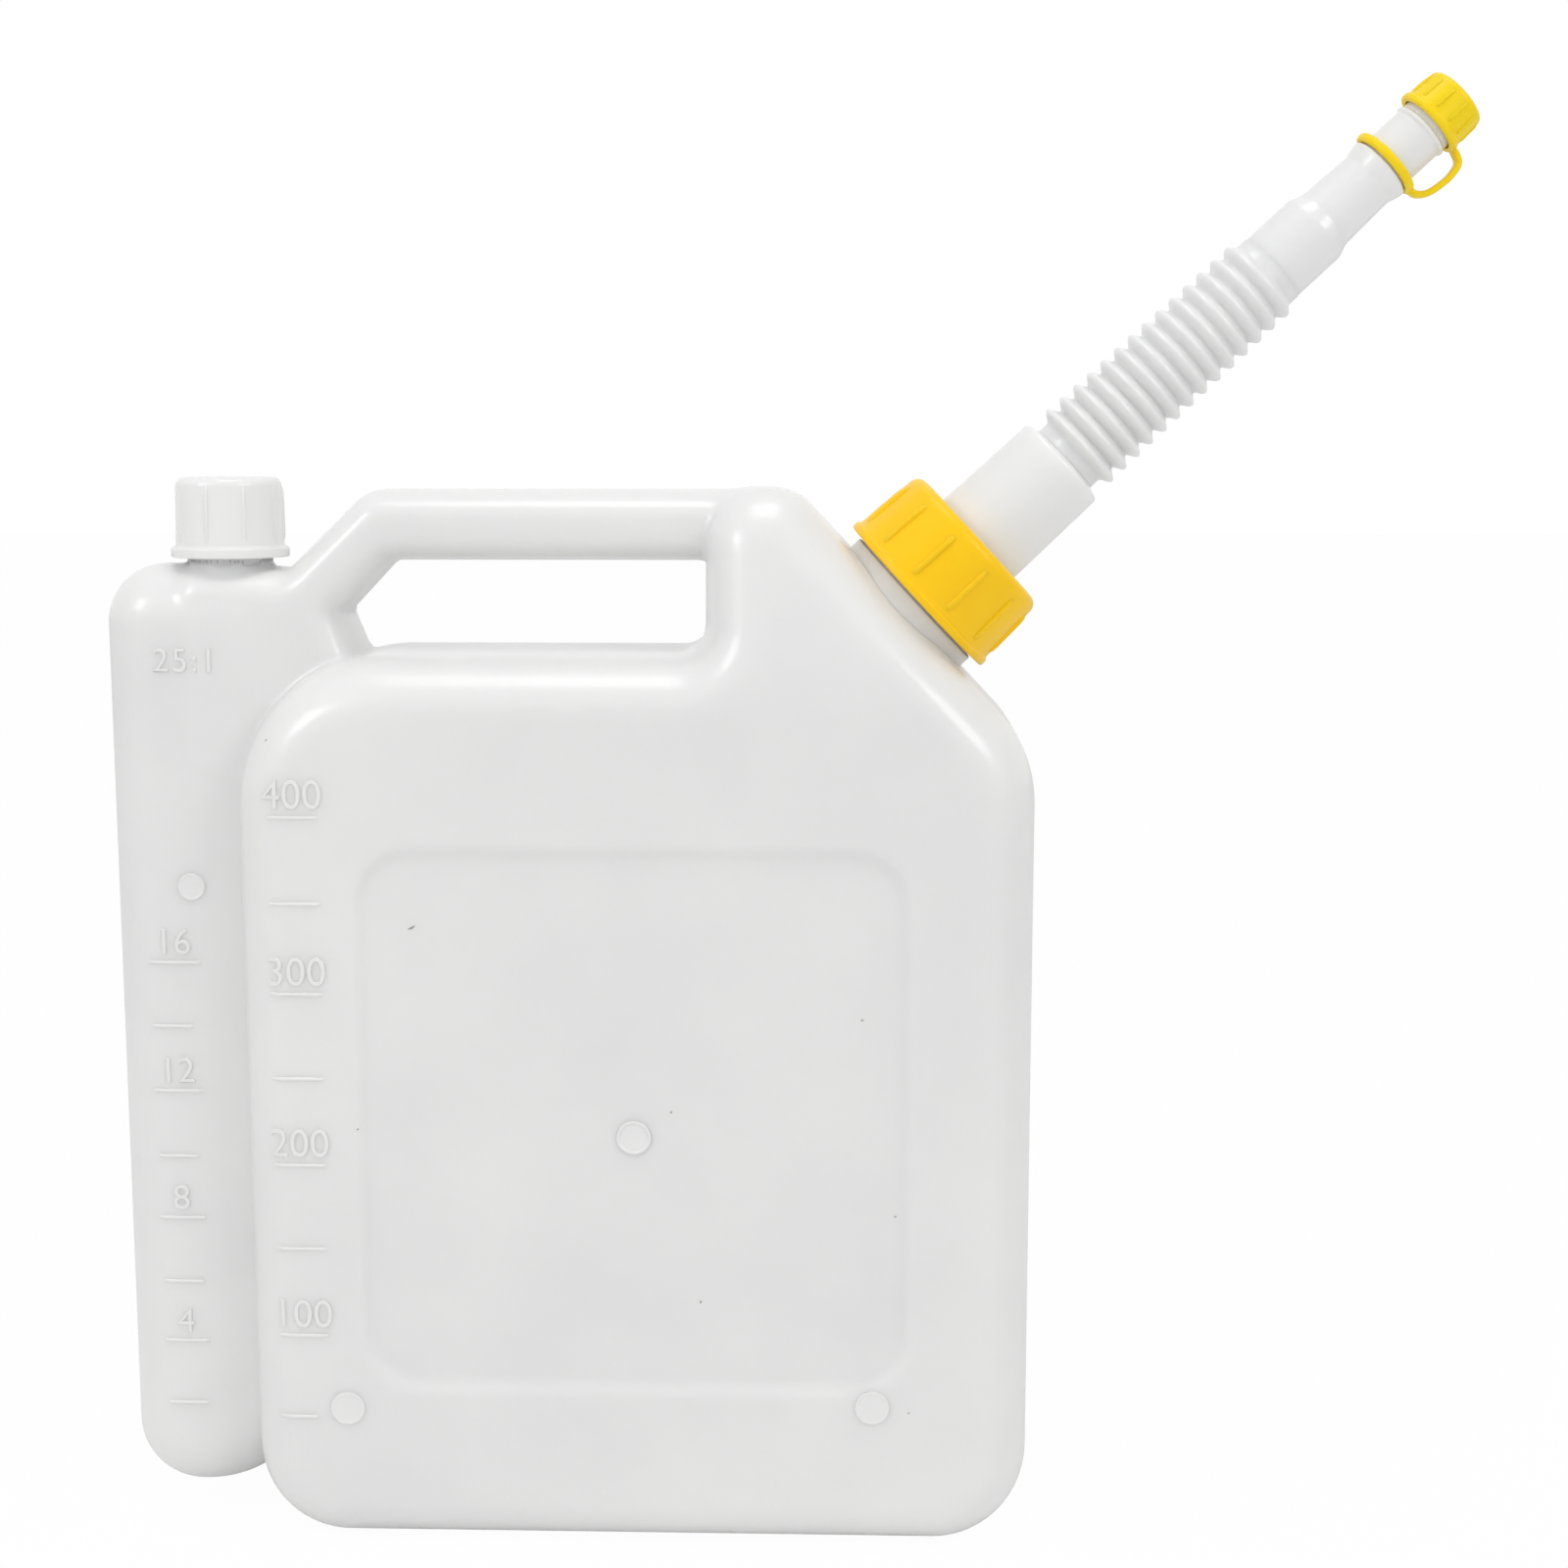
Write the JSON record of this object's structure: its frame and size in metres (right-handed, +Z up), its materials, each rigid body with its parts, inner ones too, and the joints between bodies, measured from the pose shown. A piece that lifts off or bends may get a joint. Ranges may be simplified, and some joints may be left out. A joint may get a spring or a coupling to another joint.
{
  "type": "fuel mixing bottle",
  "caption": "Flat milky mixing bottle with a capped oil column at its side, a hollow handle over a finger gap and a screwed-on corrugated spout with a strapped tip cap.",
  "frame": {"origin": "middle of the tank's flat base, on the plane that the bottle stands on", "axes": "+Z up, +X towards the spout, the large faces look along Y and the face with the volume marks looks along -Y"},
  "size_m": [0.1972, 0.038, 0.2131],
  "materials": {
    "milky_body": "blown polyethylene, milky, with a soft sheen",
    "milky_spout": "thin blown polyethylene, milky, with a soft sheen",
    "translucent_cap": "uncoloured moulded polypropylene, the thread below it shows through",
    "yellow_closure": "coloured moulded polyethylene, smooth",
    "seal_foam": "matt foam",
    "seal_rubber": "matt rubber"
  },
  "bodies": {
    "bottle": {"bottle": "milky_body"},
    "oil_liner": {"oil_cap_liner": "seal_foam"},
    "oil_cap": {"oil_cap": "translucent_cap"},
    "spout_seal": {"spout_gasket": "seal_rubber"},
    "collar": {"spout_collar": "yellow_closure"},
    "spout": {"spout_base": "milky_spout", "spout_bellows": "milky_spout"},
    "nozzle": {"spout_nozzle": "milky_spout"},
    "tip_ring": {"tip_ring": "yellow_closure", "tip_strap": "yellow_closure"},
    "tip_cap": {"tip_cap": "yellow_closure"}
  },
  "joints": [
    {"name": "oil_cap_lift", "type": "slide", "parent": "bottle", "child": "oil_liner", "axis": [0, 0, 1], "range_m": [0, 0.0095]},
    {"name": "oil_cap_turn", "type": "hinge", "parent": "oil_liner", "child": "oil_cap", "pos_m": [-0.06035, 0, 0.15], "axis": [0, 0, 1], "range_deg": [0, 1800]},
    {"name": "spout_lift", "type": "slide", "parent": "bottle", "child": "spout_seal", "axis": [0.7314, 0, 0.682], "range_m": [0, 0.0075]},
    {"name": "collar_turn", "type": "hinge", "parent": "spout_seal", "child": "collar", "pos_m": [0.04596, 0, 0.14472], "axis": [0.7314, 0, 0.682], "range_deg": [0, 900]},
    {"name": "spout_swivel", "type": "hinge", "parent": "spout_seal", "child": "spout", "pos_m": [0.04596, 0, 0.14472], "axis": [0.7314, 0, 0.682], "continuous": true},
    {"name": "spout_bend", "type": "hinge", "parent": "spout", "child": "nozzle", "pos_m": [0.07602, 0, 0.17275], "axis": [0, 1, 0], "range_deg": [-45, 45], "stiffness_Nm_per_rad": 0.08, "deforming": ["spout_bellows"]},
    {"name": "tip_cap_turn", "type": "hinge", "parent": "nozzle", "child": "tip_ring", "pos_m": [0.11178, 0, 0.2061], "axis": [0.7314, 0, 0.682], "range_deg": [0, 1440]},
    {"name": "tip_cap_lift", "type": "slide", "parent": "tip_ring", "child": "tip_cap", "axis": [0.7314, 0, 0.682], "range_m": [0, 0.006], "deforming": ["tip_strap"]}
  ],
  "couplings": [
    {"joint": "oil_cap_lift", "follows": "oil_cap_turn", "m_per_rad": 0.0003023},
    {"joint": "spout_lift", "follows": "collar_turn", "m_per_rad": 0.0004774},
    {"joint": "tip_cap_lift", "follows": "tip_cap_turn", "m_per_rad": 0.0002387}
  ]
}
